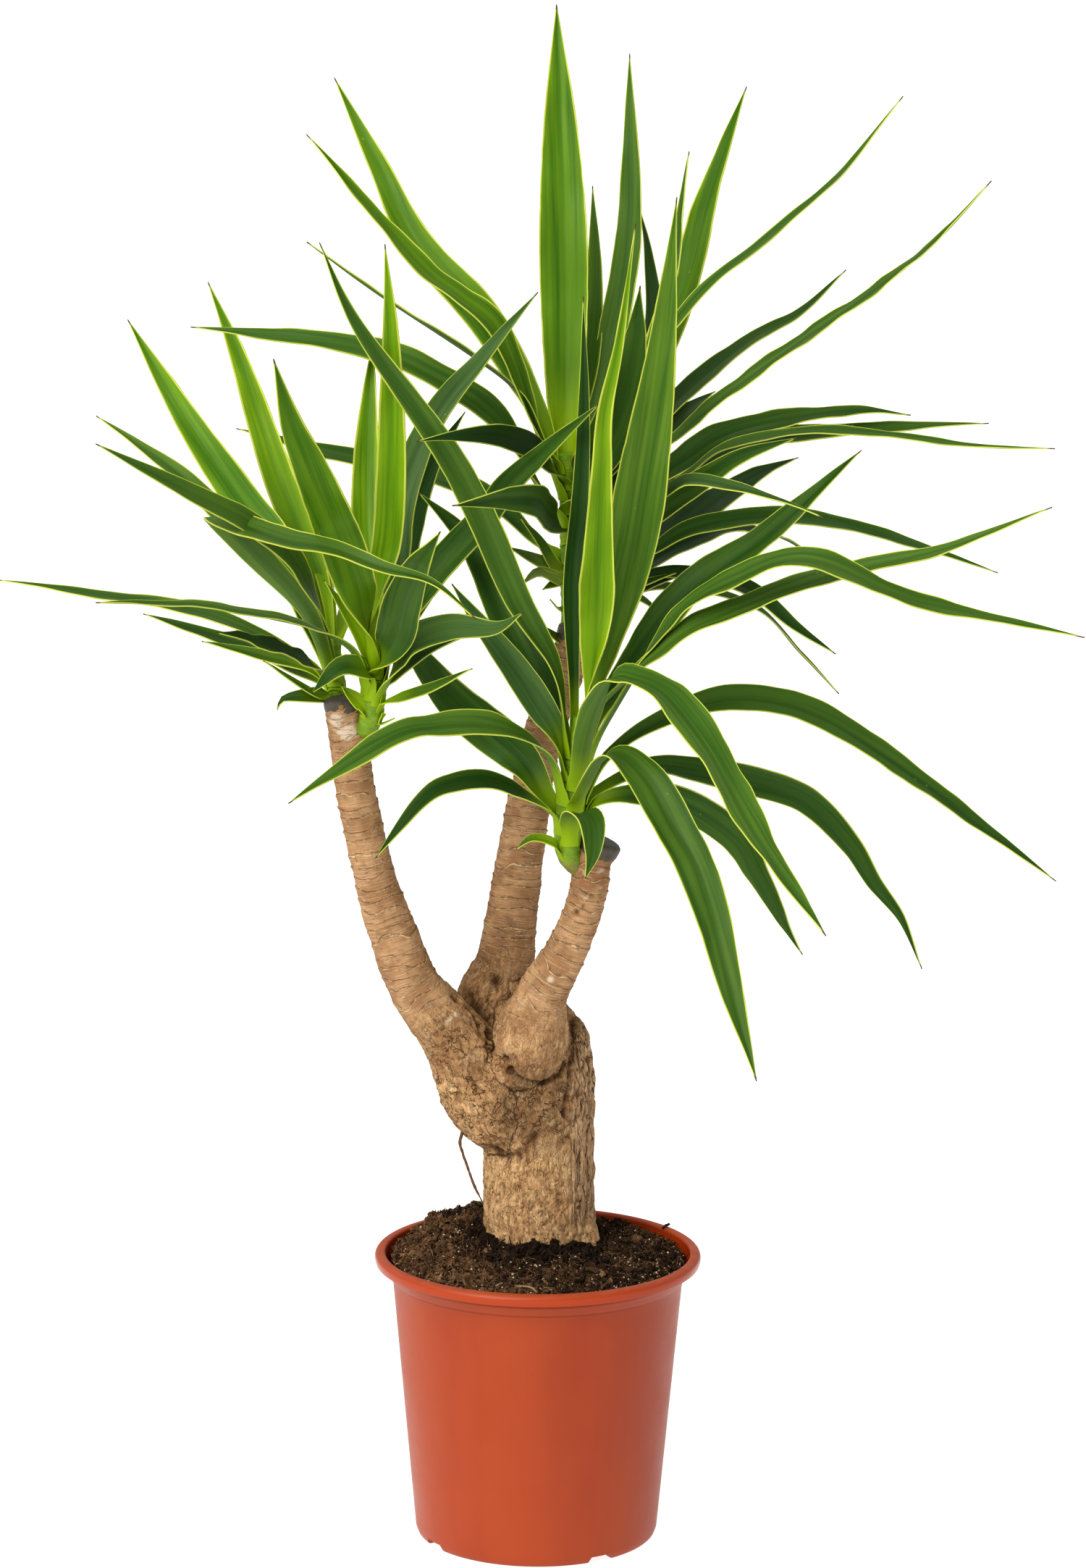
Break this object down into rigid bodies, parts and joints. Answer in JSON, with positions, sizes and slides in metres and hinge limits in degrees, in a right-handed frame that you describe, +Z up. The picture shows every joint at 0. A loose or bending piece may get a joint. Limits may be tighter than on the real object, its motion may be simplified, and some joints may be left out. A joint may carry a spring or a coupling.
{
  "type": "potted yucca",
  "caption": "Potted yucca tree: bare canes rising from one thick stump, leafy shoots of long variegated sword-shaped leaves, and a round terracotta-coloured nursery pot.",
  "frame": {"origin": "centre of the pot's base, on the floor", "axes": "+Z up along the pot's axis, +X to the right and +Y to the back as seen from the front"},
  "size_m": [0.7822, 0.5562, 1.1149],
  "materials": {
    "pot_plastic": "satin moulded terracotta-coloured plastic",
    "peat": null,
    "bark": "tan corky bark with leaf scars",
    "seal_wax": "dark grey-brown sealing wax",
    "stem_green": "yellow-green living stem; fabric stands in for plant tissue",
    "leaf_green": "satin green blade with pale yellow-green margins; fabric stands in for plant tissue",
    "root_skin": "dry brown root"
  },
  "bodies": {
    "root": {"nursery_pot": "pot_plastic", "potting_soil": "peat", "trunk": "bark", "cut_seal_left": "seal_wax", "cut_seal_back": "seal_wax", "cut_seal_front": "seal_wax", "shoot_stem_left_rear": "stem_green", "shoot_stem_left_front": "stem_green", "shoot_stem_back": "stem_green", "shoot_stem_front": "stem_green", "leaf_left_rear_01": "leaf_green", "leaf_left_rear_02": "leaf_green", "leaf_left_rear_03": "leaf_green", "leaf_left_rear_04": "leaf_green", "leaf_left_rear_05": "leaf_green", "leaf_left_rear_06": "leaf_green", "leaf_left_rear_07": "leaf_green", "leaf_left_front_01": "leaf_green", "leaf_left_front_02": "leaf_green", "leaf_left_front_03": "leaf_green", "leaf_left_front_04": "leaf_green", "leaf_left_front_05": "leaf_green", "leaf_left_front_06": "leaf_green", "leaf_left_front_07": "leaf_green", "leaf_left_front_08": "leaf_green", "leaf_left_front_09": "leaf_green", "leaf_back_01": "leaf_green", "leaf_back_02": "leaf_green", "leaf_back_03": "leaf_green", "leaf_back_04": "leaf_green", "leaf_back_05": "leaf_green", "leaf_back_06": "leaf_green", "leaf_back_07": "leaf_green", "leaf_back_08": "leaf_green", "leaf_back_09": "leaf_green", "leaf_back_10": "leaf_green", "leaf_back_11": "leaf_green", "leaf_back_12": "leaf_green", "leaf_back_13": "leaf_green", "leaf_back_14": "leaf_green", "leaf_back_15": "leaf_green", "leaf_back_16": "leaf_green", "leaf_back_17": "leaf_green", "leaf_back_18": "leaf_green", "leaf_front_01": "leaf_green", "leaf_front_02": "leaf_green", "leaf_front_03": "leaf_green", "leaf_front_04": "leaf_green", "leaf_front_05": "leaf_green", "leaf_front_06": "leaf_green", "leaf_front_07": "leaf_green", "leaf_front_08": "leaf_green", "leaf_front_09": "leaf_green", "leaf_front_10": "leaf_green", "leaf_front_11": "leaf_green", "leaf_front_12": "leaf_green", "leaf_front_13": "leaf_green", "leaf_front_14": "leaf_green", "leaf_front_15": "leaf_green", "hanging_root": "root_skin"}
  },
  "joints": []
}
